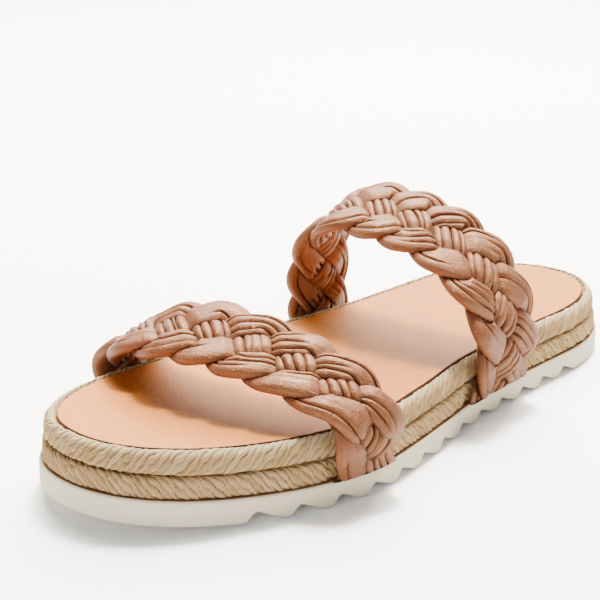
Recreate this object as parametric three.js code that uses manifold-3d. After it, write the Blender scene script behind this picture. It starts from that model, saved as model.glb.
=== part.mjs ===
// A two-strap espadrille slide sandal, left foot, as a maker builds it: a white saw-tooth outsole, a platform
// of two jute courses, a leather insole lying in the upper course, and two straps, each a flat braid of four
// soft leather strands. Millimetres. Along the shoe x runs from the heel to the toe, y to the wearer's left
// (the outer side of the foot) and z up. The whole shoe is centred on its bottom at the end.

import * as THREE from 'three';
import Module from 'manifold-3d';
import { mergeVertices } from 'three/addons/utils/BufferGeometryUtils.js';

// Sole sizes
const SOLE_LENGTH = 258;
const BALL_WIDTH = 97.4;
const HEEL_WIDTH = 75.6;
const TOE_SPRING = 5;             // how far the tip of the sole lifts off the floor
const SPRING_START = 0.74;        // share of the length where the lift begins
const OUTSOLE_THICKNESS = 8.7;
const LOWER_COURSE_THICKNESS = 6.9;
const UPPER_COURSE_THICKNESS = 7.1;
const INSOLE_THICKNESS = 1.8;
const INSOLE_PROUD = 0.4;         // the insole's face stands this much above the jute roll
const JUTE_ROLL_WIDTH = 6.1;      // from the outsole's edge to the insole's seat
const INSOLE_EDGE_RADIUS = 0.7;
const JUTE_SETBACK = 1.8;         // from the outsole's edge to the widest reach of the jute
const FIT_GAP = 0.3;              // clearance kept wherever two pieces meet

// Saw teeth under the outsole: a steep face towards the heel and a long slope towards the toe
const TOOTH_PITCH = 13.9;
const TOOTH_DEPTH = 3.6;
const TOOTH_STEEP_RUN = 1.9;
const TOOTH_ROOT_ROUND = 1.4;
const TOOTH_FLAT = 2.4;
const TOE_BLOCK_LENGTH = 36.5;    // smooth block in front of the first tooth
const HEEL_BLOCK_LENGTH = 40;     // smooth block kept behind the last tooth

// Straps
const STRAP_THICKNESS = 8.2;      // two strands deep
const STRAP_END_THICKNESS = 2.2;
const STRAP_END_RUN = 21;         // length over which an end thins down
const STRAP_MIN_WALL = 1.6;
const STRAND_COUNT = 4;
const STRAND_SHARE = 0.31;        // a strand's width as a share of the strap's
const STRAND_DEPTH_SHARE = 0.56;  // a strand's thickness as a share of the strap's
const LOBE_DEPTH = 2.4;           // how far the valleys between the lobes cut into the edges
const LOBE_LEAN = 0.2;            // how far the lobes of the two edges lean apart, in pitches
const BRAID_CORNER = 0.9;         // near 1 a strand turns sharply at the edge, near 0 it swings in a wave
const FRONT_RISE = 19.5;          // clear height of the front strap over the insole
const FRONT_PITCH = 16;           // from one lobe of its braid to the next along an edge
const INSTEP_RISE = 42.5;
const INSTEP_PITCH = 14.5;

// The sole's outline, heel to toe: half the width as a share of half the ball width between the round ends,
// and how far the middle line bends to the outer side, in shares of the ball width.
const HEEL_END = 0.2;
const TOE_START = 0.68;
const WIDTHS = [
  { at: HEEL_END, half: HEEL_WIDTH / BALL_WIDTH },
  { at: 0.3, half: 0.785 },
  { at: 0.42, half: 0.816 },
  { at: 0.55, half: 0.924 },
  { at: TOE_START, half: 1 },
];
const BENDS = [
  { at: 0, out: 0 },
  { at: 0.2, out: 0 },
  { at: 0.42, out: 0.018 },
  { at: 0.68, out: 0.046 },
  { at: 0.86, out: -0.01 },
  { at: 1, out: -0.026 },
];
const HEEL_ROUNDNESS = 2.1;
const TOE_ROUNDNESS = 2.15;

// Side profiles, in shares of the layer's thickness: up from its floor, and in from its widest reach.
const OUTSOLE_SIDE = [
  { up: 0, in: 0.045 },
  { up: 0.1, in: 0 },
  { up: 0.8, in: 0.01 },
  { up: 1, in: 0.08 },
];
const LOWER_COURSE_SIDE = [
  { up: 0, in: 0.1 },
  { up: 0.2, in: 0 },
  { up: 0.8, in: 0 },
  { up: 1, in: 0.16 },
];
const UPPER_COURSE_SIDE = [
  { up: 0, in: 0.15 },
  { up: 0.2, in: 0 },
  { up: 0.62, in: 0.01 },
  { up: 0.88, in: 0.16 },
  { up: 1, in: 0.38 },
];

// Each strap's two edges: where each leaves the sole on the outer and inner side and how far its top sways to
// the toe (shares of the sole's length), its share of the strap's clear height, how far its ridge lies to the
// outer side of the middle (share of the ball width), and the exponent of its arch, where 2 is an ellipse and
// more is squarer.
const FRONT_STRAP = {
  rise: FRONT_RISE,
  pitch: FRONT_PITCH,
  start: 0.656,                   // where the first lobe lies, in pitches
  toeEdge: { outer: 0.752, inner: 0.812, sway: 0.035, height: 0.59, ridge: -0.02, fullness: 1.45 },
  heelEdge: { outer: 0.652, inner: 0.7, sway: 0.012, height: 1, ridge: -0.144, fullness: 1.9 },
};
const INSTEP_STRAP = {
  rise: INSTEP_RISE,
  pitch: INSTEP_PITCH,
  start: -0.138,
  toeEdge: { outer: 0.452, inner: 0.468, sway: 0.012, height: 0.79, ridge: -0.144, fullness: 2.4 },
  heelEdge: { outer: 0.306, inner: 0.348, sway: 0.006, height: 1, ridge: -0.246, fullness: 2.4 },
};

// Fineness of the facets
const OUTLINE_STEPS = 36;         // stations from heel to toe
const STRAP_STEP = 2.7;           // length of a facet along a strap
const STRAP_ACROSS = 12;
const THREAD_STEPS = 600;         // samples that measure a thread's length

const LOWER_COURSE_FLOOR = OUTSOLE_THICKNESS + FIT_GAP;
const UPPER_COURSE_FLOOR = LOWER_COURSE_FLOOR + LOWER_COURSE_THICKNESS + FIT_GAP;
const ROLL_TOP = UPPER_COURSE_FLOOR + UPPER_COURSE_THICKNESS;
const INSOLE_TOP = ROLL_TOP + INSOLE_PROUD;
const INSOLE_FLOOR = INSOLE_TOP - INSOLE_THICKNESS;

const mix = (a, b, share) => a + (b - a) * share;
const clamp = (value, low, high) => Math.min(high, Math.max(low, value));
const smooth = (share) => share * share * (3 - 2 * share);

// Cubic through a table's rows, level beyond its ends.
function readTable(rows, key, at) {
  const place = clamp(at, rows[0].at, rows[rows.length - 1].at);
  const next = clamp(rows.findIndex((row) => row.at >= place), 1, rows.length - 1);
  const [a, b] = [rows[next - 1], rows[next]];
  const slope = (i) => {
    const [low, high] = [rows[Math.max(i - 1, 0)], rows[Math.min(i + 1, rows.length - 1)]];
    return i === 0 || i === rows.length - 1 ? 0 : (high[key] - low[key]) / (high.at - low.at);
  };
  const span = b.at - a.at;
  const u = (place - a.at) / span;
  return (2 * u ** 3 - 3 * u ** 2 + 1) * a[key] + (u ** 3 - 2 * u ** 2 + u) * span * slope(next - 1)
    + (3 * u ** 2 - 2 * u ** 3) * b[key] + (u ** 3 - u ** 2) * span * slope(next);
}

// The toe and heel close as half ellipses, slightly squared.
function endRounding(at) {
  if (at < HEEL_END) return (1 - (1 - at / HEEL_END) ** HEEL_ROUNDNESS) ** (1 / HEEL_ROUNDNESS);
  if (at > TOE_START) {
    return Math.max(0, 1 - ((at - TOE_START) / (1 - TOE_START)) ** TOE_ROUNDNESS) ** (1 / TOE_ROUNDNESS);
  }
  return 1;
}

// y of the outsole's edge at a share of the length; side is +1 on the outer side and -1 on the inner.
function edgeOfSole(at, side) {
  const place = clamp(at, 0, 1);
  const half = (BALL_WIDTH / 2) * readTable(WIDTHS, 'half', place) * endRounding(place);
  return BALL_WIDTH * readTable(BENDS, 'out', place) + side * half;
}

function toeLift(x) {
  const share = clamp((x / SOLE_LENGTH - SPRING_START) / (1 - SPRING_START), 0, 1);
  return TOE_SPRING * share ** 2;
}

// One turn of the outline, heel, outer side, toe, inner side, set in by a distance and lifted at the toe.
function outlineRing(inset, height) {
  const count = OUTLINE_STEPS * 2;
  const plain = Array.from({ length: count }, (_, i) => {
    const turn = (i / count) * 2 * Math.PI;
    const at = (1 - Math.cos(turn)) / 2;
    return new THREE.Vector2(at * SOLE_LENGTH, edgeOfSole(at, turn < Math.PI ? 1 : -1));
  });
  return plain.map((point, i) => {
    const along = plain[(i + 1) % count].clone().sub(plain[(i + count - 1) % count]).normalize();
    const x = point.x + along.y * inset;
    const y = point.y - along.x * inset;
    return new THREE.Vector3(x, y, height + toeLift(x));
  });
}

// Skin over rings of equal length. The two ends are closed by a ladder of strips from side to side, so that
// they follow the lift of the toe.
function loft(rings) {
  const count = rings[0].length;
  const triangles = [];
  const quad = (a, b, c, d) => triangles.push(a, b, c, a, c, d);
  for (let r = 0; r + 1 < rings.length; r += 1) {
    for (let i = 0; i < count; i += 1) {
      const j = (i + 1) % count;
      quad(rings[r][i], rings[r + 1][i], rings[r + 1][j], rings[r][j]);
    }
  }
  const close = (ring, up) => {
    const half = count / 2;
    for (let i = 0; i < half; i += 1) {
      const [a, b, c, d] = [ring[i], ring[i + 1], ring[(count - i - 1) % count], ring[(count - i) % count]];
      if (i === 0) triangles.push(...(up ? [a, c, b] : [a, b, c]));
      else if (i === half - 1) triangles.push(...(up ? [a, d, b] : [a, b, d]));
      else if (up) quad(a, d, c, b);
      else quad(a, b, c, d);
    }
  };
  close(rings[0], false);
  close(rings[rings.length - 1], true);
  return geometryOf(triangles);
}

function geometryOf(triangles) {
  const geometry = new THREE.BufferGeometry().setFromPoints(triangles);
  return mergeVertices(geometry, 1e-4);
}

const ringsOf = (profile, floor, thickness, setback) => (
  profile.map((row) => outlineRing(setback + row.in * thickness, floor + row.up * thickness))
);

// Booleans
const wasm = await Module();
wasm.setup();

function toSolid(geometry) {
  const plain = geometry.clone();
  plain.deleteAttribute('normal');
  plain.deleteAttribute('uv');
  const merged = mergeVertices(plain, 1e-4);
  return new wasm.Manifold(new wasm.Mesh({
    numProp: 3,
    vertProperties: new Float32Array(merged.attributes.position.array),
    triVerts: new Uint32Array(merged.index.array),
  }));
}

function toGeometry(solid) {
  const mesh = solid.getMesh();
  const geometry = new THREE.BufferGeometry();
  geometry.setAttribute('position', new THREE.BufferAttribute(mesh.vertProperties, 3));
  geometry.setIndex(new THREE.BufferAttribute(mesh.triVerts, 1));
  return geometry;
}

// One gap between two saw teeth, as a bar right across the sole.
function toothGap(index) {
  const tip = SOLE_LENGTH - TOE_BLOCK_LENGTH - index * TOOTH_PITCH;
  const root = tip - TOOTH_STEEP_RUN;
  const next = tip - TOOTH_PITCH + TOOTH_FLAT;
  const under = -TOOTH_DEPTH;
  const profile = new THREE.Shape([
    new THREE.Vector2(tip, under),
    new THREE.Vector2(tip, toeLift(tip)),
    new THREE.Vector2(root, toeLift(root) + TOOTH_DEPTH - TOOTH_ROOT_ROUND / 2),
    new THREE.Vector2(root - TOOTH_ROOT_ROUND, toeLift(root) + TOOTH_DEPTH),
    new THREE.Vector2(next, toeLift(next)),
    new THREE.Vector2(next, under),
  ]);
  const across = BALL_WIDTH * 2;
  const bar = new THREE.ExtrudeGeometry(profile, { depth: across, bevelEnabled: false });
  bar.rotateX(Math.PI / 2);
  bar.translate(0, across / 2, 0);
  return toSolid(bar);
}

function outsole() {
  let solid = toSolid(loft(ringsOf(OUTSOLE_SIDE, 0, OUTSOLE_THICKNESS, 0)));
  const teeth = Math.floor((SOLE_LENGTH - TOE_BLOCK_LENGTH - HEEL_BLOCK_LENGTH) / TOOTH_PITCH);
  for (let i = 0; i < teeth; i += 1) solid = solid.subtract(toothGap(i));
  return toGeometry(solid);
}

function lowerCourse() {
  return loft(ringsOf(LOWER_COURSE_SIDE, LOWER_COURSE_FLOOR, LOWER_COURSE_THICKNESS, JUTE_SETBACK));
}

// The upper course rolls over its edge and drops to the seat that the insole lies in.
function upperCourse() {
  const seat = INSOLE_FLOOR - FIT_GAP;
  return loft([
    ...ringsOf(UPPER_COURSE_SIDE, UPPER_COURSE_FLOOR, UPPER_COURSE_THICKNESS, JUTE_SETBACK),
    outlineRing(JUTE_ROLL_WIDTH - FIT_GAP, mix(seat, ROLL_TOP, 0.7)),
    outlineRing(JUTE_ROLL_WIDTH, seat),
  ]);
}

function insole() {
  const edge = JUTE_ROLL_WIDTH + FIT_GAP;
  return loft([
    outlineRing(edge, INSOLE_FLOOR),
    outlineRing(edge, INSOLE_TOP - INSOLE_EDGE_RADIUS),
    outlineRing(edge + INSOLE_EDGE_RADIUS, INSOLE_TOP),
  ]);
}

// The line that one thread of a strap's inner face follows: up the jute on the outer side, over the foot in
// a squared ellipse, and down the inner side. across is 0 on the toe edge and 1 on the heel edge.
function threadOver(strap, across) {
  const value = (key) => mix(strap.toeEdge[key], strap.heelEdge[key], across);
  const reach = JUTE_SETBACK - FIT_GAP;
  const outerX = value('outer') * SOLE_LENGTH;
  const innerX = value('inner') * SOLE_LENGTH;
  const outerY = edgeOfSole(value('outer'), 1) - reach;
  const innerY = edgeOfSole(value('inner'), -1) + reach;
  const ridge = (outerY + innerY) / 2 + value('ridge') * BALL_WIDTH;
  const floor = OUTSOLE_THICKNESS + FIT_GAP;
  const wall = INSOLE_TOP - floor;
  const power = 2 / value('fullness');
  return (turn) => {
    const round = clamp(turn, 0, 1) * Math.PI;
    const level = Math.cos(round);
    const up = Math.max(0, Math.sin(round)) ** power;
    const out = Math.abs(level) ** power;
    const x = mix(outerX, innerX, (1 - level) / 2) + value('sway') * SOLE_LENGTH * up;
    const y = ridge + out * ((level > 0 ? outerY : innerY) - ridge);
    const below = turn < 0 ? turn : Math.min(0, 1 - turn);
    const z = floor + wall * (1 + below) + value('height') * strap.rise * up;
    return new THREE.Vector3(x, y, z + toeLift(x));
  };
}

// Turns of the thread at equal steps along the strap's middle, from the outer end to the inner one. Below 0
// and above 1 the thread lies on the sole's side, and -1 and 2 are its ends.
function evenTurns(strap) {
  const middle = threadOver(strap, 0.5);
  const turns = Array.from({ length: THREAD_STEPS + 1 }, (_, i) => mix(-1, 2, i / THREAD_STEPS));
  const run = [0];
  for (let i = 1; i <= THREAD_STEPS; i += 1) {
    run.push(run[i - 1] + middle(turns[i]).distanceTo(middle(turns[i - 1])));
  }
  const length = run[THREAD_STEPS];
  const steps = Math.round(length / STRAP_STEP);
  const stations = Array.from({ length: steps + 1 }, (_, k) => {
    const along = Math.min(length, (length * k) / steps);
    const i = clamp(run.findIndex((value) => value >= along), 1, THREAD_STEPS);
    return { along, turn: mix(turns[i - 1], turns[i], (along - run[i - 1]) / (run[i] - run[i - 1])) };
  });
  return { length, stations };
}

// One strand of the flat braid at a distance along the strap: its place across, from -1 at the toe edge to
// 1 at the heel edge, its height, from -1 under to 1 over, and how steeply it runs across.
function strandAt(strap, along, index) {
  const repeat = STRAND_COUNT * strap.pitch;
  const phase = (along / strap.pitch - strap.start + index) / STRAND_COUNT;
  const swing = (value) => Math.asin(BRAID_CORNER * Math.sin(2 * Math.PI * value - Math.PI / 2));
  const wave = (value) => swing(value) / Math.asin(BRAID_CORNER);
  const window = clamp(1.5 * Math.sin(2 * Math.PI * phase), -1, 1);
  const step = 0.01;
  return {
    place: wave(phase),
    height: Math.cos(8 * Math.PI * phase) * window,
    slope: (wave(phase + step) - wave(phase - step)) / (2 * step * repeat),
  };
}

// Outer and inner face of the braid over the strap's middle surface, at a distance across it.
function braidFaces(strands, across, halfWidth, halfThickness) {
  const strandHalf = STRAND_SHARE * halfWidth;
  const reach = halfWidth - strandHalf;
  const thickness = STRAND_DEPTH_SHARE * halfThickness;
  let [outer, inner] = [STRAP_MIN_WALL / 2, -STRAP_MIN_WALL / 2];
  strands.forEach(({ place, height, slope }) => {
    const off = Math.abs(across - place * reach) / Math.hypot(1, slope * reach) / strandHalf;
    if (off >= 1) return;
    const bulge = thickness * Math.sqrt(1 - off * off);
    const middle = height * (halfThickness - thickness);
    outer = Math.max(outer, middle + bulge);
    inner = Math.min(inner, middle - bulge);
  });
  return { outer, inner };
}

// Half the braid's width at a distance along it, on the toe's side (-1) or the heel's (+1): each strand's turn
// makes a round lobe, and two lobes meet in a sharp valley.
function scallop(strap, along, halfWidth, side) {
  const turn = Math.PI * (along / strap.pitch - strap.start - side * LOBE_LEAN);
  return halfWidth - LOBE_DEPTH * (1 - Math.abs(Math.cos(turn)));
}

// A strap: one wall whose two faces carry the braid in relief, with scalloped edges and thin flat ends.
function strapGeometry(strap) {
  const { length, stations } = evenTurns(strap);
  const indexes = Array.from({ length: STRAND_COUNT }, (_, i) => i);
  const surface = (share, turn) => threadOver(strap, share)(turn);
  const columns = stations.map(({ along, turn }) => {
    const strands = indexes.map((i) => strandAt(strap, along, i));
    const halfWidth = surface(0, turn).distanceTo(surface(1, turn)) / 2;
    const end = smooth(clamp(Math.min(along, length - along) / STRAP_END_RUN, 0, 1));
    const halfThickness = mix(STRAP_END_THICKNESS, STRAP_THICKNESS, end) / 2;
    return Array.from({ length: STRAP_ACROSS + 1 }, (_, j) => {
      const place = (2 * j) / STRAP_ACROSS - 1;
      const across = place * mix(halfWidth, scallop(strap, along, halfWidth, Math.sign(place)), end);
      const share = (across / halfWidth + 1) / 2;
      const [d, e] = [0.01, 0.002];
      const alongward = surface(share, Math.min(turn + e, 2)).sub(surface(share, Math.max(turn - e, -1)));
      const heelward = surface(share + d, turn).sub(surface(share - d, turn));
      const outward = alongward.cross(heelward).normalize().negate();
      const faces = braidFaces(strands, across, halfWidth, halfThickness);
      const middle = surface(share, turn).addScaledVector(outward, halfThickness);
      const flat = STRAP_END_THICKNESS / 2;
      const outer = mix(flat, faces.outer, end);
      const inner = mix(-flat, Math.max(faces.inner, -halfThickness), end);
      return {
        outer: middle.clone().addScaledVector(outward, outer),
        inner: middle.clone().addScaledVector(outward, inner),
      };
    });
  });
  const triangles = [];
  const quad = (a, b, c, d) => triangles.push(a, b, c, a, c, d);
  for (let k = 0; k + 1 < columns.length; k += 1) {
    const [a, b] = [columns[k], columns[k + 1]];
    for (let j = 0; j < STRAP_ACROSS; j += 1) {
      quad(a[j].outer, a[j + 1].outer, b[j + 1].outer, b[j].outer);
      quad(a[j].inner, b[j].inner, b[j + 1].inner, a[j + 1].inner);
    }
    quad(a[0].outer, b[0].outer, b[0].inner, a[0].inner);
    const m = STRAP_ACROSS;
    quad(a[m].outer, a[m].inner, b[m].inner, b[m].outer);
  }
  const closeEnd = (column, first) => {
    for (let j = 0; j < STRAP_ACROSS; j += 1) {
      const [a, b, c, d] = [column[j].outer, column[j].inner, column[j + 1].inner, column[j + 1].outer];
      if (first) quad(a, b, c, d);
      else quad(a, d, c, b);
    }
  };
  closeEnd(columns[0], true);
  closeEnd(columns[columns.length - 1], false);
  return geometryOf(triangles);
}

const RUBBER = { color: 0xe9e6e1, roughness: 0.5, metalness: 0 };
const JUTE = { color: 0xcdb88f, roughness: 0.95, metalness: 0 };
const INSOLE_LEATHER = { color: 0xe2b698, roughness: 0.6, metalness: 0 };
const STRAP_LEATHER = { color: 0xbf7f5c, roughness: 0.45, metalness: 0 };

const shoe = new THREE.Group();
function addPiece(name, geometry, finish) {
  const mesh = new THREE.Mesh(geometry, new THREE.MeshStandardMaterial(finish));
  mesh.name = name;
  shoe.add(mesh);
}

addPiece('outsole', outsole(), RUBBER);
addPiece('jute_course_lower', lowerCourse(), JUTE);
addPiece('jute_course_upper', upperCourse(), JUTE);
addPiece('insole', insole(), INSOLE_LEATHER);
addPiece('front_strap', strapGeometry(FRONT_STRAP), STRAP_LEATHER);
addPiece('instep_strap', strapGeometry(INSTEP_STRAP), STRAP_LEATHER);

const box = new THREE.Box3().setFromObject(shoe);
shoe.position.set(-(box.min.x + box.max.x) / 2, -(box.min.y + box.max.y) / 2, -box.min.z);

export default shoe;
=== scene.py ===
# %% [markdown]
# An espadrille slide sandal, left foot. The real shoe is a white saw-tooth outsole, a platform wrapped in
# two bands of twisted jute, a thin leather insole, and two straps, each a flat braid of four soft leather
# strands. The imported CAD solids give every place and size. Each visible piece is made again here as a fine
# surface that lies where its solid lies, because jute twist and gathered leather need far more detail than
# a solid holds.

# %% Load the frame
import math

import bmesh
import bpy
import numpy as np
from mathutils import Matrix, Vector


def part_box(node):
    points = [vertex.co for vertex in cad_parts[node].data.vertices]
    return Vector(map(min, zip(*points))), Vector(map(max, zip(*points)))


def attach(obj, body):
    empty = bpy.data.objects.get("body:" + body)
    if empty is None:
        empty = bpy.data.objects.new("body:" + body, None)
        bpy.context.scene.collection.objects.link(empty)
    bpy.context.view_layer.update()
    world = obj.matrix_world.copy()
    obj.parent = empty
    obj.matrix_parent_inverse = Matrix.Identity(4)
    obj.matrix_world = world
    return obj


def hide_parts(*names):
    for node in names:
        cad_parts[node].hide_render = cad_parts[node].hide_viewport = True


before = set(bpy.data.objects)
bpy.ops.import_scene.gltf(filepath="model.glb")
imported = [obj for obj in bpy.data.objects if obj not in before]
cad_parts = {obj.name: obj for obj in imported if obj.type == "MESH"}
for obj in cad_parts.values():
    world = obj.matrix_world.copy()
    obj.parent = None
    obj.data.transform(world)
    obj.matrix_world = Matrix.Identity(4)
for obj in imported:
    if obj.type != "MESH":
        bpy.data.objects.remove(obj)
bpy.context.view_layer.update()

# %% [markdown]
# The shoe's own sizes, in millimetres. They repeat the driving sizes of the solids, so that a surface made
# here lands on its solid. The sole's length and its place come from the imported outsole.

# %% Sizes
MM = 0.001
outsole_low, outsole_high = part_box("outsole")
SOLE_LENGTH = (outsole_high[0] - outsole_low[0]) / MM
BALL_WIDTH = 97.4
HEEL_WIDTH = 75.6
TOE_SPRING = 5.0
SPRING_START = 0.74
OUTSOLE_TOP = 8.7
LOWER_FLOOR = 9.0
LOWER_TOP = 15.9
UPPER_FLOOR = 16.2
INSOLE_TOP = 23.7
INSOLE_FLOOR = 21.9
JUTE_SETBACK = 1.8
ROLL_WIDTH = 6.1
FIT_GAP = 0.3
HEEL_END = 0.2
TOE_START = 0.68
WIDTHS = np.array([(0.2, HEEL_WIDTH / BALL_WIDTH), (0.3, 0.785), (0.42, 0.816), (0.55, 0.924), (0.68, 1.0)])
BENDS = np.array([(0, 0), (0.2, 0), (0.42, 0.018), (0.68, 0.046), (0.86, -0.01), (1, -0.026)])
HEEL_ROUNDNESS = 2.1
TOE_ROUNDNESS = 2.15
print("sole length", round(SOLE_LENGTH, 2))

# %% [markdown]
# The outline of a shoe sole is easiest as two curves, one for each side, over the share of the length. A
# short table gives the width and another the bend of the middle line, and a smooth cubic runs through their
# rows. The heel and toe close as half ellipses with slightly squared shoulders.

# %% Outline of the sole


def read_table(rows, at):
    """Cubic through the rows (place, value), whose inner slopes are those of the line between neighbours."""
    x, v = rows[:, 0], rows[:, 1]
    at = np.clip(at, x[0], x[-1])
    slope = np.zeros(len(x))
    slope[1:-1] = (v[2:] - v[:-2]) / (x[2:] - x[:-2])
    i = np.clip(np.searchsorted(x, at), 1, len(x) - 1)
    span = x[i] - x[i - 1]
    u = (at - x[i - 1]) / span
    return ((2 * u**3 - 3 * u**2 + 1) * v[i - 1] + (u**3 - 2 * u**2 + u) * span * slope[i - 1]
            + (3 * u**2 - 2 * u**3) * v[i] + (u**3 - u**2) * span * slope[i])


def sole_edge(at, side):
    """y of the outsole's edge: the bent middle line plus or minus half the width, rounded at both ends."""
    at = np.clip(at, 0, 1)
    heel = (1 - np.clip(1 - at / HEEL_END, 0, 1) ** HEEL_ROUNDNESS) ** (1 / HEEL_ROUNDNESS)
    toe_share = np.clip((at - TOE_START) / (1 - TOE_START), 0, 1)
    toe = np.clip(1 - toe_share**TOE_ROUNDNESS, 0, 1) ** (1 / TOE_ROUNDNESS)
    half = BALL_WIDTH / 2 * read_table(WIDTHS, at) * heel * toe
    return BALL_WIDTH * read_table(BENDS, at) + side * half


def toe_lift(x):
    """How far the sole lifts off the floor: a parabola that starts at the ball of the foot."""
    return TOE_SPRING * np.clip((x / SOLE_LENGTH - SPRING_START) / (1 - SPRING_START), 0, 1) ** 2


def smooth_step(low, high, value):
    """0 below low, 1 above high, and an S curve between them."""
    t = np.clip((value - low) / (high - low), 0, 1)
    return t * t * (3 - 2 * t)


outline_at = (1 - np.cos(np.linspace(0, math.pi, 2000))) / 2
sole_shift = np.array([
    outsole_low[0] / MM,
    outsole_high[1] / MM - sole_edge(outline_at, 1).max(),
    0.0,
])
print("sole frame starts at", sole_shift)

# %% [markdown]
# Every surface below is a grid of points, computed as one array. A sheet joins neighbouring grid points into
# quads, closes the grid where it wraps, and keeps the numbers that the finishes read: a UV map in
# millimetres and named attributes.

# %% Grids


def grid_quads(rows, cols, wrap_rows, wrap_cols):
    """Corner numbers of the quads of a grid, counted with the wrapped row and column written out again."""
    i = np.arange(rows if wrap_rows else rows - 1)[:, None]
    j = np.arange(cols if wrap_cols else cols - 1)[None, :]
    corners = [(i + di, j + dj) for di, dj in ((0, 0), (0, 1), (1, 1), (1, 0))]
    flat = [np.broadcast_to(r, np.broadcast(r, c).shape).ravel() for r, c in corners]
    across = [np.broadcast_to(c, np.broadcast(r, c).shape).ravel() for r, c in corners]
    return np.stack(flat, -1), np.stack(across, -1)


class Sheet:
    """A grid of points (rows, cols, 3) in the sole's millimetres, with its UV map and attributes. flip turns
    its faces over, and caps closes its first and last row."""

    def __init__(self, points, wrap_rows=False, wrap_cols=False, uv=None, flip=False, caps=False,
                 **attributes):
        rows, cols = points.shape[:2]
        r, c = grid_quads(rows, cols, wrap_rows, wrap_cols)
        if uv is None:
            uv = np.zeros((rows, cols, 2))
        self.points = points.reshape(-1, 3)
        self.faces = [(r % rows) * cols + c % cols]
        self.uvs = [uv[np.minimum(r, uv.shape[0] - 1), np.minimum(c, uv.shape[1] - 1)]]
        self.attributes = {key: value.ravel() for key, value in attributes.items()}
        if caps:
            self.close_ends(rows, cols)
        if flip:
            self.faces = [corners[:, ::-1] for corners in self.faces]
            self.uvs = [corners[:, ::-1] for corners in self.uvs]

    def close_ends(self, rows, cols):
        """Adds a middle point to the first and last row, and a fan of triangles round each."""
        ring = np.arange(cols)
        following = (ring + 1) % cols
        count = rows * cols
        last_row = count - cols
        first = np.stack([following, ring, np.full(cols, count)], -1)
        last = np.stack([last_row + ring, last_row + following, np.full(cols, count + 1)], -1)
        middles = [self.points[:cols].mean(0), self.points[last_row:].mean(0)]
        self.points = np.concatenate([self.points, middles])
        self.faces.append(np.concatenate([first, last]))
        self.uvs.append(np.zeros((2 * cols, 3, 2)))
        self.attributes = {key: np.concatenate([value, [0, 0]]) for key, value in self.attributes.items()}


print("a grid of 3 by 4 points has", len(Sheet(np.zeros((3, 4, 3))).faces[0]), "quads")

# %% [markdown]
# A piece is one or more sheets in one mesh. Writing whole arrays with foreach_set is far quicker than adding
# faces one by one. Where two sheets share an edge their points are welded, so that the piece is closed, as a
# real thing is.

# %% Pieces
WELD_REACH = 0.0005


def sheets_to_mesh(name, sheets):
    """One mesh of all sheets, one after the other. An attribute that a sheet hasn't got is 0 there."""
    points = (np.concatenate([sheet.points for sheet in sheets]) + sole_shift) * MM
    bases = np.cumsum([0] + [len(sheet.points) for sheet in sheets])
    faces = [corners + base for sheet, base in zip(sheets, bases) for corners in sheet.faces]
    uvs = [corners.reshape(-1, 2) for sheet in sheets for corners in sheet.uvs]
    sizes = np.concatenate([np.full(len(corners), corners.shape[1]) for corners in faces])
    loops = np.concatenate([corners.ravel() for corners in faces])
    mesh = bpy.data.meshes.new(name)
    mesh.vertices.add(len(points))
    mesh.vertices.foreach_set("co", points.ravel())
    mesh.loops.add(len(loops))
    mesh.loops.foreach_set("vertex_index", loops)
    mesh.polygons.add(len(sizes))
    mesh.polygons.foreach_set("loop_start", np.concatenate([[0], np.cumsum(sizes)[:-1]]))
    mesh.update(calc_edges=True)
    mesh.uv_layers.new(name="UVMap").data.foreach_set("uv", np.concatenate(uvs).ravel())
    for key in sorted({key for sheet in sheets for key in sheet.attributes}):
        column = [sheet.attributes.get(key, np.zeros(len(sheet.points))) for sheet in sheets]
        mesh.attributes.new(key, "FLOAT", "POINT").data.foreach_set("value", np.concatenate(column))
    return mesh


def weld(mesh):
    """Joins the points that coincide, and prints whether the mesh is closed and how much it holds."""
    welded = bmesh.new()
    welded.from_mesh(mesh)
    bmesh.ops.remove_doubles(welded, verts=welded.verts, dist=WELD_REACH * MM)
    welded.to_mesh(mesh)
    open_edges = sum(not edge.is_manifold for edge in welded.edges)
    triangles = sum(len(face.verts) - 2 for face in welded.faces)
    volume = round(welded.calc_volume(signed=True) / MM**3)
    print(mesh.name, "triangles", triangles, "open edges", open_edges, "volume", volume, "mm3")
    welded.free()


def make_piece(name, sheets, finish, node):
    """One smooth, closed object of the given sheets that stands for a node of the CAD part."""
    mesh = sheets_to_mesh(name, sheets)
    weld(mesh)
    mesh.polygons.foreach_set("use_smooth", np.ones(len(mesh.polygons), bool))
    mesh.validate()
    piece = bpy.data.objects.new(name, mesh)
    bpy.context.scene.collection.objects.link(piece)
    mesh.materials.append(finish)
    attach(piece, "root")
    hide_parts(node)


# %% [markdown]
# A finish is a node tree. Its maths reads best as plain expressions, so a small class wraps a socket and
# turns + and * into Math nodes.

# %% Sockets as numbers


class Flow:
    """A socket of a finish. Expressions on it add Math nodes to the same tree."""

    def __init__(self, finish, socket):
        self.finish, self.socket = finish, socket

    def math(self, operation, *others):
        return self.finish.node("ShaderNodeMath", {"operation": operation}, {
            i: value for i, value in enumerate((self, *others))})

    def __add__(self, other):
        return self.math("ADD", other)

    __radd__ = __add__

    def __mul__(self, other):
        return self.math("MULTIPLY", other)

    __rmul__ = __mul__

    def clamp(self):
        return self.math("MINIMUM", 1.0).math("MAXIMUM", 0.0)

    def between(self, low, high):
        """0 below low, 1 above high, and an S curve between them."""
        return self.finish.node("ShaderNodeMapRange", {"interpolation_type": "SMOOTHSTEP"}, {
            "Value": self, "From Min": low, "From Max": high})


# %% [markdown]
# Every other node comes from one method, which takes the node's type, its settings and its inputs. Noise
# and cells give mottle and grain, and a bump turns them into relief too fine for the mesh. The sky is a
# node tree too, so it uses the same class.

# %% Finishes


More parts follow.
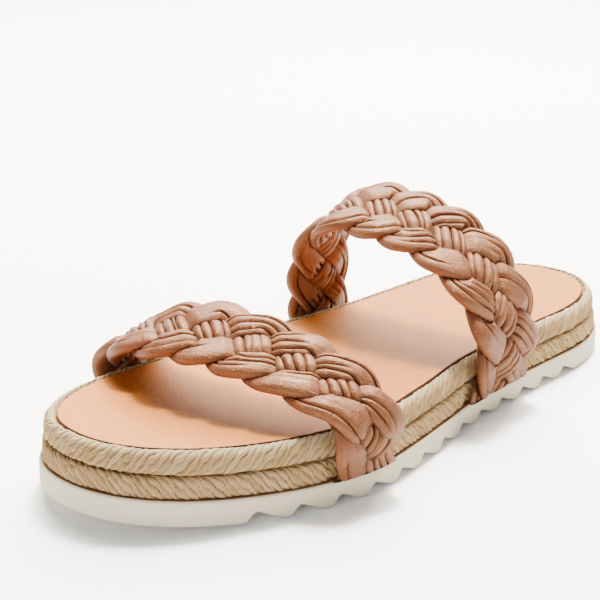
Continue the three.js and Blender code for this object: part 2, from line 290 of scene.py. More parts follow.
class Finish:
    """The node tree of a material or of the sky, whose nodes are added one by one before its shader."""

    def __init__(self, owner, shader, **values):
        owner.use_nodes = True
        self.owner, self.tree = owner, owner.node_tree
        self.shader = self.tree.nodes[shader]
        self.wear(**values)

    def node(self, kind, settings=None, inputs=None, output=0):
        made = self.tree.nodes.new(kind)
        for key, value in (settings or {}).items():
            setattr(made, key, value)
        for key, value in (inputs or {}).items():
            self.feed(made.inputs[key], value)
        return Flow(self, made.outputs[output])

    def feed(self, socket, value):
        if isinstance(value, Flow):
            self.tree.links.new(value.socket, socket)
        else:
            socket.default_value = value

    def here(self):
        return self.node("ShaderNodeTexCoord", output="Object")

    def uv(self):
        return self.node("ShaderNodeUVMap", {"uv_map": "UVMap"})

    def value(self, name):
        return self.node("ShaderNodeAttribute", {"attribute_name": name}, output="Fac")

    def stretched(self, vector, scale, turn=(0, 0, 0)):
        return self.node("ShaderNodeMapping", None, {"Vector": vector, "Scale": scale, "Rotation": turn})

    def noise(self, vector, scale, detail=3.0, rough=0.55):
        return self.node("ShaderNodeTexNoise", None, {
            "Vector": vector, "Scale": scale, "Detail": detail, "Roughness": rough})

    def cells(self, vector, scale):
        return self.node("ShaderNodeTexVoronoi", {"feature": "DISTANCE_TO_EDGE"}, {
            "Vector": vector, "Scale": scale})

    def mix(self, share, low, high):
        return self.node("ShaderNodeMix", {"data_type": "RGBA"}, {0: share, 6: low, 7: high}, output=2)

    def bump(self, height, distance):
        return self.node("ShaderNodeBump", None, {"Height": height, "Distance": distance})

    def wear(self, **inputs):
        """Feeds the shader's own sockets and gives back what wears the finish."""
        for socket, value in inputs.items():
            self.feed(self.shader.inputs[socket.replace("_", " ")], value)
        return self.owner


def material(name, **values):
    """The finish of a new material, with the values that are the same all over it."""
    return Finish(bpy.data.materials.new(name), "Principled BSDF", **values)


def srgb(red, green, blue):
    """A colour seen on screen, 0 to 255, as the linear colour that shaders use."""
    seen = np.array([red, green, blue]) / 255
    linear = np.where(seen <= 0.04045, seen / 12.92, ((seen + 0.055) / 1.055) ** 2.4)
    return (*[float(part) for part in linear], 1.0)


print("mid grey on screen is", round(srgb(128, 128, 128)[0], 3), "as a shader's colour")

# %% [markdown]
# The camera repeats the photograph's view. It stands in front of the toe on the outer side, a little above
# the shoe, and looks down on it at 19 degrees. Its long lens gives the photograph's frame.

# %% Camera
VIEW_AZIMUTH = 134.71
VIEW_ELEVATION = 19.02
VIEW_ROLL = -0.09
VIEW_DISTANCE = 576.58
VIEW_TARGET = np.array([100.87, -55.91, 20.0])
LENS = 86.48
SENSOR = 36.0


def view_axes():
    """Right, up and back of the camera, from its azimuth round the shoe and its height over it."""
    azimuth, elevation, roll = np.radians([VIEW_AZIMUTH, VIEW_ELEVATION, VIEW_ROLL])
    back = Vector((math.sin(azimuth) * math.cos(elevation),
                   -math.cos(azimuth) * math.cos(elevation), math.sin(elevation)))
    right = Vector((0, 0, 1)).cross(back).normalized()
    up = back.cross(right)
    turned_right = right * math.cos(roll) + up * math.sin(roll)
    return turned_right, back.cross(turned_right), back


camera_data = bpy.data.cameras.new("camera")
camera_data.lens = LENS
camera_data.sensor_width = SENSOR
camera_data.clip_start = 0.01
camera = bpy.data.objects.new("camera", camera_data)
bpy.context.scene.collection.objects.link(camera)
right, up, back = view_axes()
eye = Vector((VIEW_TARGET + sole_shift) * MM) + back * VIEW_DISTANCE * MM
camera.matrix_world = Matrix((
    (right.x, up.x, back.x, eye.x),
    (right.y, up.y, back.y, eye.y),
    (right.z, up.z, back.z, eye.z),
    (0, 0, 0, 1)))
bpy.context.scene.camera = camera
print("camera stands at", [round(part, 3) for part in eye])

# %% [markdown]
# The strap surface. One thread of a strap goes up the jute on the outer side, over the foot in a squared
# ellipse, and down the inner side. A strap is the family of threads between its toe edge and its heel edge.
# The table repeats the one that shaped the solids: for each edge the places of its two ends and its sway
# towards the toe, as shares of the sole's length, its height as a share of the strap's rise, the place of
# its ridge as a share of the ball's width, and the fullness of its arch.

# %% Strap surfaces
STRAP_THICKNESS = 8.2
STRAP_END_THICKNESS = 3.3
STRAP_END_RUN = 15.0
SHOULDER_ROUNDING = 5.0
EDGE_KEYS = ("outer", "inner", "sway", "height", "ridge", "fullness")
STRAPS = {
    "front_strap": {
        "rise": 19.5, "pitch": 16.0, "start": 0.656,
        "toe": (0.752, 0.812, 0.035, 0.59, -0.02, 1.45),
        "heel": (0.652, 0.7, 0.012, 1.0, -0.144, 1.9),
    },
    "instep_strap": {
        "rise": 42.5, "pitch": 14.5, "start": -0.138,
        "toe": (0.452, 0.468, 0.012, 0.79, -0.144, 2.4),
        "heel": (0.306, 0.348, 0.006, 1.0, -0.246, 2.4),
    },
}


def thread_over(strap, across, turn):
    """Points of a strap's inner face: across is 0 on the toe edge and 1 on the heel edge, and turn goes from
    -1 at the outer end through 0 and 1, where the arch starts and ends, to 2 at the inner end. The height
    over the insole is sin to the power 2/fullness, and the place across is cos to the same power."""
    edges = zip(EDGE_KEYS, strap["toe"], strap["heel"])
    row = {key: toe + (heel - toe) * across for key, toe, heel in edges}
    reach = JUTE_SETBACK - FIT_GAP
    outer_x, inner_x = row["outer"] * SOLE_LENGTH, row["inner"] * SOLE_LENGTH
    outer_y = sole_edge(row["outer"], 1) - reach
    inner_y = sole_edge(row["inner"], -1) + reach
    ridge = (outer_y + inner_y) / 2 + row["ridge"] * BALL_WIDTH
    wall = INSOLE_TOP - LOWER_FLOOR
    power = 2 / row["fullness"]
    angle = np.clip(turn, 0, 1) * math.pi
    level = np.cos(angle)
    rise = np.clip(np.sin(angle), 0, 1) ** power
    out = np.abs(level) ** power
    x = outer_x + (inner_x - outer_x) * (1 - level) / 2 + row["sway"] * SOLE_LENGTH * rise
    y = ridge + out * (np.where(level > 0, outer_y, inner_y) - ridge)
    below = np.where(turn < 0, turn, np.minimum(0, 1 - turn))
    z = LOWER_FLOOR + wall * (1 + below) + row["height"] * strap["rise"] * rise
    return np.stack([x, y, z + toe_lift(x)], -1)


class StrapSurface:
    """A strap's inner face sampled on a fine grid, with outward normals, read back by length and place."""

    STEP = 0.4
    TURNS = 1201
    ACROSS = np.linspace(-0.15, 1.15, 27)

    def __init__(self, strap):
        turns = np.linspace(-1, 2, self.TURNS)
        middle = thread_over(strap, np.full(len(turns), 0.5), turns)
        run = np.concatenate([[0], np.cumsum(np.linalg.norm(np.diff(middle, axis=0), axis=1))])
        self.length = run[-1]
        self.along = np.arange(0, self.length + self.STEP, self.STEP)
        turn = np.interp(self.along, run, turns)
        grid = thread_over(strap, self.ACROSS[None, :], turn[:, None])
        self.points = self.rounded(grid)
        down = np.gradient(self.points, axis=0)
        over = np.gradient(self.points, axis=1)
        normal = np.cross(over, down)
        self.normals = normal / np.linalg.norm(normal, axis=-1, keepdims=True)
        ends = [thread_over(strap, np.full(len(turn), share), turn) for share in (0.0, 1.0)]
        self.half_widths = np.linalg.norm(ends[1] - ends[0], axis=1) / 2

    def rounded(self, grid):
        """Running mean along the strap, which rounds the bend where it leaves the side of the sole."""
        reach = int(SHOULDER_ROUNDING / self.STEP)
        before = 2 * grid[:1] - grid[reach:0:-1]
        after = 2 * grid[-1:] - grid[-2:-reach - 2:-1]
        padded = np.concatenate([before, grid, after])
        total = np.cumsum(np.concatenate([np.zeros_like(padded[:1]), padded]), axis=0)
        return (total[2 * reach + 1:] - total[:-2 * reach - 1]) / (2 * reach + 1)

    def half_width(self, along):
        return np.interp(along, self.along, self.half_widths)

    def squeeze(self, along):
        """The braid's thickness as a share of its full one: pressed thin at both feet."""
        end = smooth_step(0, STRAP_END_RUN, np.minimum(along, self.length - along))
        return (STRAP_END_THICKNESS + (STRAP_THICKNESS - STRAP_END_THICKNESS) * end) / STRAP_THICKNESS

    def place(self, along, across, off):
        """Point at a length along, millimetres across the middle and millimetres off the inner face."""
        share = 0.5 + across / (2 * self.half_width(along))
        row = np.clip(along / self.STEP, 0, len(self.along) - 1.001)
        step = self.ACROSS[1] - self.ACROSS[0]
        column = np.clip((share - self.ACROSS[0]) / step, 0, len(self.ACROSS) - 1.001)
        i, j = row.astype(int), column.astype(int)
        u, v = (row - i)[..., None], (column - j)[..., None]

        def read(grid):
            low = grid[i, j] * (1 - v) + grid[i, j + 1] * v
            high = grid[i + 1, j] * (1 - v) + grid[i + 1, j + 1] * v
            return low * (1 - u) + high * u

        return read(self.points) + read(self.normals) * off[..., None]


surfaces = {name: StrapSurface(strap) for name, strap in STRAPS.items()}
for name, surface in surfaces.items():
    print(name, "is", round(surface.length, 1), "mm long")

# %% [markdown]
# A flat braid of four strands. Each strand swings from edge to edge in a zigzag, and the four follow each
# other a quarter of the zigzag apart. On its way to the heel edge a strand goes under, over, under, and on
# its way back over, under, over. Curves could be braided by hand, but a formula for the swing and one for
# over and under braid all four strands of both straps alike.

# %% The way of a strand
STRAND_COUNT = 4
ZIGZAG_CORNER = 0.74
WEAVE_START = -0.12
WEAVE_RAMP = 0.045
TURN_RAMP = 0.085


def swing(phase):
    """Zigzag with rounded corners, from -1 to 1 and back over one phase."""
    wave = np.arcsin(ZIGZAG_CORNER * np.sin(2 * math.pi * phase - math.pi / 2))
    return wave / math.asin(ZIGZAG_CORNER)


def weave(phase):
    """1 where a strand lies over, -1 where it lies under: a sum of S curves, one for each crossing. Towards
    the heel edge it is over once, in the middle. Back towards the toe edge it is over twice, and the leaf
    that it makes each time runs out along the edge."""
    phase = np.mod(phase - WEAVE_START, 1) + WEAVE_START
    steps = ((0.03, TURN_RAMP, -1), (0.1875, WEAVE_RAMP, 1), (0.3125, WEAVE_RAMP, -1),
             (0.47, TURN_RAMP, 1), (0.6875, WEAVE_RAMP, -1), (0.8125, WEAVE_RAMP, 1))
    return 1 + 2 * sum(sign * smooth_step(at - ramp, at + ramp, phase) for at, ramp, sign in steps)


def bump_near(phase, places, reach):
    """Sum of bell curves round the given phases."""
    apart = np.mod(phase[:, None] - np.array(places) + 0.5, 1) - 0.5
    return np.exp(-(apart / reach) ** 2).sum(1)


def drift(rng, along, wavelength, count=3):
    """A slow random wave of size about 1: a few sines of nearby lengths with random starts."""
    lengths = wavelength * rng.uniform(0.7, 1.5, count)
    starts = rng.uniform(0, 2 * math.pi, count)
    waves = np.sin(2 * math.pi * along[..., None] / lengths + starts)
    return waves.mean(-1) * 1.4


over_share = np.mean(weave(np.linspace(0, 1, 1000, endpoint=False)) > 0)
print("a strand lies on top for", round(float(over_share), 2), "of its way")

# %% [markdown]
# The leather of a strand is gathered: a bundle of long rolls with sharp folds between them. The folds keep
# their places while the strand lies on top, and shift while it is hidden, so each visible piece looks
# different. The folds are real relief, because they show in the strap's outline.

# %% Gathered folds
HIDDEN_PHASES = (0.125, 0.375, 0.75)
PIECE_RAMP = 0.05
FOLD_PLACES = (-0.5, 0.02, 0.5)
FOLD_JITTER = 0.16
THROUGH, FROM_START, FROM_END, FAINT = range(4)
FOLD_CHANCES = (0.34, 0.26, 0.22, 0.18)
FAINT_FOLD = 0.06
RIM_FOLD = 0.1
FOLD_START = 0.86
USUAL_ROLL = 0.42


def visible_pieces(phase):
    """Number of the visible piece at each place, climbing by one while the strand is hidden, how far along
    the piece it is (0 to 1), and whether it is one of the short straight pieces in the strap's middle."""
    whole = np.arange(math.floor(phase.min()) - 1, math.ceil(phase.max()) + 1)
    knots = (whole[:, None] + np.array(HIDDEN_PHASES)).ravel()
    number = smooth_step(knots[None] - PIECE_RAMP, knots[None] + PIECE_RAMP, phase[:, None]).sum(1)
    step = np.clip(np.searchsorted(knots, phase), 1, len(knots) - 1)
    progress = (phase - knots[step - 1]) / (knots[step] - knots[step - 1])
    straight = np.isclose(np.mod(knots[step - 1], 1), HIDDEN_PHASES[0])
    return number, np.clip(progress, 0, 1), straight


def fold_lines(rng, phase, raw):
    """Places of the folds across a strand and how deep each is, one row per place along it. On a straight
    piece all folds run through. On a leaf at the edge some start at one end and fade out half way."""
    number, progress, straight = visible_pieces(phase)
    slots = np.arange(math.ceil(number.max()) + 2)
    near = np.clip(np.round(number).astype(int), 0, len(slots) - 1)
    lines, depths = [], []
    for base in FOLD_PLACES:
        jitter = rng.uniform(-FOLD_JITTER, FOLD_JITTER, len(slots))
        deep = rng.uniform(0.75, 1.1, len(slots))
        kind = rng.choice(4, len(slots), p=FOLD_CHANCES)[near]
        fade = np.select([kind == THROUGH, kind == FROM_START, kind == FROM_END],
                         [np.ones_like(progress), 1 - smooth_step(0.3, 0.7, progress),
                          smooth_step(0.35, 0.75, progress)], FAINT_FOLD)
        fade = np.where(straight, np.where(kind == FAINT, 0.3, 1.0), fade)
        lines.append(base + np.interp(number, slots, jitter) + 0.08 * drift(rng, raw, 14))
        depths.append(np.interp(number, slots, deep) * fade * (1 + 0.2 * drift(rng, raw, 9)))
    return np.stack(lines, -1), np.clip(np.stack(depths, -1), 0.04, 1.3)


def rolled_face(lines, depths, samples):
    """Places across and heights of one face. Between two folds the leather stands up as half an oval,
    (1 - |u|^2.4)^0.6 with u from -1 to 1, whose ends are as deep as the folds. Points lie on each fold."""
    rows = len(lines)
    walls = np.concatenate([np.full((rows, 1), -1.0), lines, np.full((rows, 1), 1.0)], 1)
    sink = np.concatenate([np.full((rows, 1), RIM_FOLD), depths, np.full((rows, 1), RIM_FOLD)], 1)
    low, high = walls[:, :-1, None], walls[:, 1:, None]
    u = samples[None, None]
    s = low + (u + 1) / 2 * (high - low)
    ends = np.where(u < 0, sink[:, :-1, None], sink[:, 1:, None])
    oval = np.clip(1 - np.abs(u) ** 2.4, 0, 1) ** 0.6
    crease = ends * np.clip((np.abs(u) - FOLD_START) / (1 - FOLD_START), 0, 1)
    size = np.clip((high - low) / USUAL_ROLL, 0.6, 1.3)
    return s.reshape(rows, -1), (ends * size * (oval - 1)).reshape(rows, -1), crease.reshape(rows, -1)


print("each face of a strand has", len(FOLD_PLACES) + 1, "rolls")

# %% [markdown]
# A strand is a soft tube. Its grid has a row at each step of its zigzag and a column at each sample of each
# roll, above and below. Where it comes down to another strand it gets a contact value, which the finish
# turns into painted shade: a dark line of painted contact shadow.

# %% Strands as tubes
STRAND_HALF_WIDTH = 5.7
STRAND_HALF_DEPTH = 2.5
STRAND_STEP = 0.55
ROLL_HEIGHT = 1.8
TIP_PHASES = (0.06, 0.44)
CONTACT_REACH = 0.5
SKIN = 0.03
END_TRIM = 0.02
ROLL_SAMPLES = np.array([-1.0, -0.95, -0.85, -0.65, -0.35, 0.0, 0.35, 0.65, 0.85, 0.95])
LOWER_ROLL_SAMPLES = np.array([-1.0, -0.85, -0.4, 0.4, 0.85])


def strand_rim(s):
    """Half height of a strand's cross-section from edge to edge, s from -1 to 1: (1 - |s|^3.2)^0.5."""
    return np.clip(1 - np.abs(s) ** 3.2, 0, 1) ** 0.5


class Strand:
    """One strand as a closed tube over the strap's surface, squeezed thin towards both feet. Its middle line
    is the zigzag, and a place beside it is found by its length along the strap and its distance across."""

    LEAD = 6.0
    EDGE_TUCK = 0.96
    TIGHTEST_BEND = 0.96

    def __init__(self, surface, strap, index, rng):
        self.surface, self.index = surface, index
        self.raw = raw = np.arange(-self.LEAD, surface.length + self.LEAD, STRAND_STEP)
        phase = (raw / strap["pitch"] - strap["start"] + index) / STRAND_COUNT
        over, tip = weave(phase), bump_near(phase, TIP_PHASES, 0.05)
        along = np.clip(raw, 0, surface.length)
        self.squeeze = surface.squeeze(along)
        self.width = STRAND_HALF_WIDTH * (1 + 0.07 * over - 0.08 * tip + 0.05 * drift(rng, raw, 23))
        reach = surface.half_width(along) - STRAND_HALF_WIDTH * self.EDGE_TUCK
        self.across = swing(phase) * reach + 0.3 * drift(rng, raw, 31)
        self.slope = np.gradient(self.across, raw)
        self.stretch = np.hypot(1, self.slope)
        self.bend = np.gradient(self.slope, raw) / self.stretch**3
        self.middle = STRAP_THICKNESS / 2 + over * (STRAP_THICKNESS / 2 - STRAND_HALF_DEPTH)
        self.swell = STRAND_HALF_DEPTH * (1 + 0.05 * over - 0.1 * tip + 0.06 * drift(rng, raw, 17))
        top = rolled_face(*fold_lines(rng, phase, raw), ROLL_SAMPLES)
        under = rolled_face(*fold_lines(rng, phase, raw), LOWER_ROLL_SAMPLES)
        self.lay_out(top, under)

    def lay_out(self, top, under):
        """The tube's points: a and c are millimetres along and across the strap, off is off its inner face.
        On the inner side of a bend they stay nearer than its centre, so the tube doesn't fold over."""
        s, relief, self.crease = [np.concatenate([upper, sign * lower], 1)
                                  for upper, lower, sign in zip(top, under, (-1, 1, 1))]
        self.face = np.concatenate([np.ones(top[0].shape[1]), -np.ones(under[0].shape[1])])
        rim = strand_rim(s)
        radius = self.TIGHTEST_BEND / np.maximum(np.abs(self.bend), 1e-4)
        lateral = s * self.width[:, None]
        inside = np.sign(self.bend)[:, None] * lateral > 0
        lateral = np.where(inside, np.clip(lateral, -radius[:, None], radius[:, None]), lateral)
        self.a = self.raw[:, None] - lateral * (self.slope / self.stretch)[:, None]
        self.c = self.across[:, None] + lateral / self.stretch[:, None]
        body = (self.middle[:, None] + self.face * rim * self.swell[:, None]) * self.squeeze[:, None]
        folds = ROLL_HEIGHT * relief * rim * self.squeeze[:, None] ** 0.5
        self.off = body + self.face * folds

    def crown(self, a, c, face):
        """Height of this strand's face at other places. The nearest length on its middle line is found by
        repeating raw = a + (c - across(raw)) slope(raw)."""
        raw = a
        for _ in range(5):
            across, slope = np.interp(raw, self.raw, self.across), np.interp(raw, self.raw, self.slope)
            raw = 0.5 * raw + 0.5 * (a + (c - across) * slope)
        across, stretch, width, middle, swell, squeeze = [np.interp(raw, self.raw, line) for line in (
            self.across, self.stretch, self.width, self.middle, self.swell, self.squeeze)]
        s = (c - across) * stretch / width
        height = (middle + face * strand_rim(s) * swell) * squeeze * face
        return np.where(np.abs(s) < 1, height, -99.0)

    def sheet(self, others):
        """The tube as a grid. Where its face comes down to another strand's face it is painted dark as a
        contact
        shadow: exp of minus the clear height, over a reach that shrinks where the strap is thin."""
        crowns = [other.crown(self.a, self.c, self.face) for other in others]
        clear = self.off * self.face - np.max(crowns, axis=0)
        # Painted contact shadow: 1 where this face touches another strand, fading with the clear height.
        contact = np.exp(-np.clip(clear, 0, None) / (CONTACT_REACH * self.squeeze[:, None] ** 0.6))
        a = np.clip(self.a, END_TRIM, self.surface.length - END_TRIM)
        points = self.surface.place(a, self.c, np.clip(self.off, SKIN, None))
        run = np.concatenate([[0], np.cumsum(np.hypot(np.diff(self.raw), np.diff(self.across)))])
        around = np.linspace(0, 4 * STRAND_HALF_WIDTH, points.shape[1] + 1)
        uv = np.stack(np.broadcast_arrays(run[:, None] + 40 * self.index, around[None, :]), -1)
        return Sheet(points, wrap_cols=True, caps=True, uv=uv, crease=self.crease, contact=contact)


print("points round a strand", (len(FOLD_PLACES) + 1) * (len(ROLL_SAMPLES) + len(LOWER_ROLL_SAMPLES)))

# %% [markdown]
# The finished straps. Soft tan leather shines a little on the rolls, and painted shade makes it dark brown
# in the folds and where the strands touch, so its colour follows the crease and contact values of the mesh.
# A thin band inside each braid closes the gaps and is painted dark as the shade in them.

# %% Leather straps
CORE_SETBACK = 4.5
CORE_HALF_DEPTH = 0.8


def strap_core(surface):
    """The flat band inside the braid, which closes the small gaps between the strands; it is painted dark
    all over, as the shade seen in those gaps. Its cross-section is half the width times cos t, and half the
    depth times the square root of sin t."""
    along = np.linspace(0.5, surface.length - 0.5, 160)[:, None]
    t = np.linspace(0, 2 * math.pi, 48, endpoint=False)[None]
    across = (surface.half_width(along) - CORE_SETBACK) * np.cos(t)
    depth = CORE_HALF_DEPTH * np.sign(np.sin(t)) * np.abs(np.sin(t)) ** 0.5
    off = (STRAP_THICKNESS / 2 + depth) * surface.squeeze(along)
    points = surface.place(np.broadcast_to(along, across.shape), across, off)
    # Painted shade: the contact value is 1 all over the core, so the finish paints it dark.
    return Sheet(points, wrap_cols=True, caps=True, flip=True, contact=np.ones(points.shape[:2]))


def strap_leather():
    """Soft tan leather: paler where a roll stands up, with painted shade that makes it dark brown in the
    folds and where strands touch, a fine grain, and a low gloss that breaks up along the folds."""
    leather = material("strap_leather", Specular_IOR_Level=1.0, Specular_Tint=(1, 0.55, 0.3, 1),
                     Coat_Weight=0.04, Coat_Roughness=0.14)
    here = leather.here()
    crease, contact = leather.value("crease"), leather.value("contact")
    patch = leather.noise(here, 55.0, 3.0).between(0.3, 0.7)
    body = leather.mix(patch, srgb(120, 73, 49), srgb(133, 83, 57))
    # Painted contact shadow: dark where one strand comes down on another, and all over the core band.
    shade = leather.mix(contact.between(0.25, 0.95) * 0.95, body, srgb(54, 27, 16))
    # Painted shade in the folds: dark brown where the crease value is high.
    shade = leather.mix(crease.between(0.05, 0.6), shade, srgb(44, 21, 13))
    grain = leather.cells(here, 1500.0)
    fine = leather.noise(here, 2600.0, 2.0)
    along = leather.noise(leather.stretched(leather.uv(), (0.35, 2.6, 1.0)), 1.0, 4.0)
    relief = grain.between(0.0, 0.25) * 0.4 + fine * 0.25 + along * 0.9
    rough = 0.22 + 0.14 * leather.noise(here, 240.0, 3.0) + crease.clamp() * 0.2
    return leather.wear(Base_Color=shade, Roughness=rough, Normal=leather.bump(relief, 0.00022))


strap_finish = strap_leather()
for number, (name, strap) in enumerate(STRAPS.items()):
    rng = np.random.default_rng(40 + number)
    strands = [Strand(surfaces[name], strap, index, rng) for index in range(STRAND_COUNT)]
    sheets = [one.sheet([other for other in strands if other is not one]) for one in strands]
    make_piece(name + "_braid", [*sheets, strap_core(surfaces[name])], strap_finish, name)

# %% [markdown]
# The outline as a ring. The jute follows the sole's edge, so for it the outline is walked at even steps. The
# insole and the outsole are cut flat across, so their ring has the same stations on both sides, and a ladder
# with a rung at each station fills it. Each row of a side is a ring moved inwards and lifted.

# %% Outline rings
END_STATIONS = (1 - np.cos(np.linspace(0, math.pi, 240))) / 2 * SOLE_LENGTH
ACROSS_SHARES = np.concatenate([[0, 0.01, 0.03], np.linspace(0.07, 0.93, 17), [0.97, 0.99, 1]])


def even_ring(count):
    """The outsole's outline at even steps from the heel, over the outer side, with its outward normals, the
    run to each step and the whole run."""
    at = (1 - np.cos(np.linspace(0, math.pi, 4001))) / 2
    outer = np.stack([at * SOLE_LENGTH, sole_edge(at, 1)], -1)
    inner = np.stack([at * SOLE_LENGTH, sole_edge(at, -1)], -1)[::-1]
    path = np.concatenate([outer, inner[1:]])
    run = np.concatenate([[0], np.cumsum(np.linalg.norm(np.diff(path, axis=0), axis=1))])
    steps = np.linspace(0, run[-1], count, endpoint=False)
    ring = np.stack([np.interp(steps, run, path[:, k]) for k in (0, 1)], -1)
    ahead = np.roll(ring, -1, 0) - np.roll(ring, 1, 0)
    normal = np.stack([-ahead[:, 1], ahead[:, 0]], -1)
    normal /= np.linalg.norm(normal, axis=1, keepdims=True)
    return ring, normal, steps, run[-1]


def paired_ring(stations):
    """The outline at the same stations on both sides, up the outer side and back down the inner."""
    back = stations[::-1][1:-1]
    y = np.concatenate([sole_edge(stations / SOLE_LENGTH, 1), sole_edge(back / SOLE_LENGTH, -1)])
    ring = np.stack([np.concatenate([stations, back]), y], -1)
    before, after = ring - np.roll(ring, 1, 0), np.roll(ring, -1, 0) - ring
    ahead = (before / np.linalg.norm(before, axis=1, keepdims=True)
             + after / np.linalg.norm(after, axis=1, keepdims=True))
    normal = np.stack([-ahead[:, 1], ahead[:, 0]], -1)
    return ring, normal / np.linalg.norm(normal, axis=1, keepdims=True)


def ladder(row):
    """A grid that fills a paired ring: each rung joins two stations, and the end rungs are points."""
    half = len(row) // 2 + 1
    other = np.concatenate([row[:1], row[half:][::-1], row[half - 1:half]])
    across = ACROSS_SHARES[None, :, None]
    return row[:half, None] * (1 - across) + other[:, None] * across


def ring_rows(ring, normal, insets, heights):
    """Rows of points: the ring moved in by each inset and set at each height, plus the toe's lift."""
    plan = ring[None] - normal[None] * np.asarray(insets)[..., None]
    z = np.broadcast_to(np.asarray(heights, float), plan.shape[:2]) + toe_lift(plan[..., 0])
    return np.concatenate([plan, z[..., None]], -1)


print("the outline is", round(even_ring(4)[3], 1), "mm round")

# %% [markdown]
# Jute. A band of twisted jute is a row of slanted strands pressed side by side. Its cross-section bulges,
# and the upper band rolls over its edge towards the insole. Each profile is a list of corners: how far in
# from the outsole's edge, and how high. The strands are raised on the surface: each is a rounded ridge whose
# line leans along the band, up to the right on the upper band and down to the right on the lower, which
# makes the herringbone where the two meet.

# %% Jute bands
JUTE_PITCH = 2.7
JUTE_RELIEF = 1.05
PRESSED_FLAT = 0.4
LOWER_LEAN = -0.8
UPPER_LEAN = 0.9
SPARE_STRANDS = 64
COURSE_SEAM = (LOWER_TOP + UPPER_FLOOR) / 2
SOLE_SEAM = LOWER_FLOOR
SEAM_WAVE = 190
JUTE_AROUND = 1950
LOWER_PROFILE = ((7.0, 8.8), (2.6, 8.75), (1.1, 8.8), (0.75, 9.6), (0.8, 11.5), (0.9, 13.6), (1.3, 15.2),
                 (2.6, COURSE_SEAM), (7.0, COURSE_SEAM))
UPPER_PROFILE = ((7.5, 16.1), (2.9, 16.1), (1.8, 16.5), (1.6, 17.8), (1.7, 19.5), (1.9, 20.9), (2.5, 22.3),
                 (3.6, 23.5), (4.8, 24.1), (5.8, 23.6), (6.1, 22.0), (7.5, 21.6))


def soft_profile(corners, count):
    """A smooth curve near the corners, as evenly spaced points of a quadratic B-spline, with the direction
    into the band at each point and the run to it."""
    corners = np.array(corners)
    t = np.linspace(0, 1, 12, endpoint=False)[:, None]
    bits = []
    for a, b, c in zip(corners[:-2], corners[1:-1], corners[2:]):
        start, finish = (a + b) / 2, (b + c) / 2
        bits.append(start * (1 - t) ** 2 + 2 * b * t * (1 - t) + finish * t**2)
    path = np.concatenate([corners[:1], *bits, corners[-1:]])
    run = np.concatenate([[0], np.cumsum(np.linalg.norm(np.diff(path, axis=0), axis=1))])
    steps = np.linspace(0, run[-1], count)
    curve = np.stack([np.interp(steps, run, path[:, k]) for k in (0, 1)], -1)
    ahead = np.gradient(curve, axis=0)
    inward = np.stack([ahead[:, 1], -ahead[:, 0]], -1)
    return curve, inward / np.linalg.norm(inward, axis=1, keepdims=True), steps


def under_straps(ring):
    """1 where a strap's foot lies on the jute and 0 elsewhere, for each place round the outline."""
    cover = np.zeros(len(ring))
    for strap in STRAPS.values():
        for key, side in (("outer", 1), ("inner", -1)):
            low, high = (strap[edge][EDGE_KEYS.index(key)] * SOLE_LENGTH for edge in ("heel", "toe"))
            inside = smooth_step(low - 2, low, ring[:, 0]) * (1 - smooth_step(high, high + 2, ring[:, 0]))
            cover += inside * (side * ring[:, 1] > 0)
    return cover


def jute_band(profile, count, lean, press, seed):
    """A closed band. Its surface is sunk between the strands by a rounded ridge wave that leans along it,
    (1 - |2u - 1|^2.2)^0.6 with u from 0 to 1 over a strand, and it is pressed in under the straps. Two
    heights are darkened, the join of the courses at a ragged line and the foot of the band on the outsole:
    dark joints with painted shade in them."""
    rng = np.random.default_rng(seed)
    ring, normal, around, total = even_ring(JUTE_AROUND)
    curve, inward, up = soft_profile(profile, count)
    strands = round(total / JUTE_PITCH)
    leaning = around[None] / total * strands + lean * up[:, None] / JUTE_PITCH
    wander = 0.16 * np.sin(2 * math.pi * around / 9.3 + 1.3) + 0.13 * np.sin(2 * math.pi * around / 4.1)
    leaning = leaning + wander[None]
    number = np.floor(leaning).astype(int)
    local = leaning - number
    kinds = strands + SPARE_STRANDS
    tone = rng.uniform(0, 1, kinds)[number % kinds]
    size = rng.uniform(0.6, 1.1, kinds)[number % kinds]
    ridge = np.clip(1 - np.abs(2 * local - 1) ** 2.2, 0, 1) ** 0.6 * size
    slack = 0.15 * np.sin(2 * math.pi * around / 37 + seed) + 0.1 * np.sin(2 * math.pi * around / 17)
    sink = JUTE_RELIEF * (1 - ridge) + 0.1 + np.clip(slack, 0, 1)[None] + press * under_straps(ring)
    inset = curve[:, :1] + inward[:, :1] * sink
    height = curve[:, 1:] + inward[:, 1:] * sink * PRESSED_FLAT
    points = ring_rows(ring, normal, inset, height)
    row_uv = np.concatenate([around, [total]])
    uv = np.stack(np.broadcast_arrays(row_uv[None, :], up[:, None]), -1)
    rise = np.broadcast_to(height, ridge.shape)
    tick = (0.75 + 0.55 * np.sin(2 * math.pi * around / SEAM_WAVE + 2.2))[None] * (local - 0.5) * 2.4
    # Dark joints with painted shade, darker still in the grooves between strands.
    seam = np.exp(-((rise - COURSE_SEAM - tick) / 0.5) ** 2) + np.exp(-((rise - SOLE_SEAM) / 0.9) ** 2)
    seam *= 0.65 + 0.6 * (1 - ridge / size)
    return Sheet(points, wrap_cols=True, wrap_rows=True, flip=True, uv=np.concatenate([uv, uv[:1]]),
                 groove=1 - ridge / size, tone=tone, rise=rise, seam=np.clip(seam, 0, 1))


print("jute strands round the sole", round(even_ring(4)[3] / JUTE_PITCH))
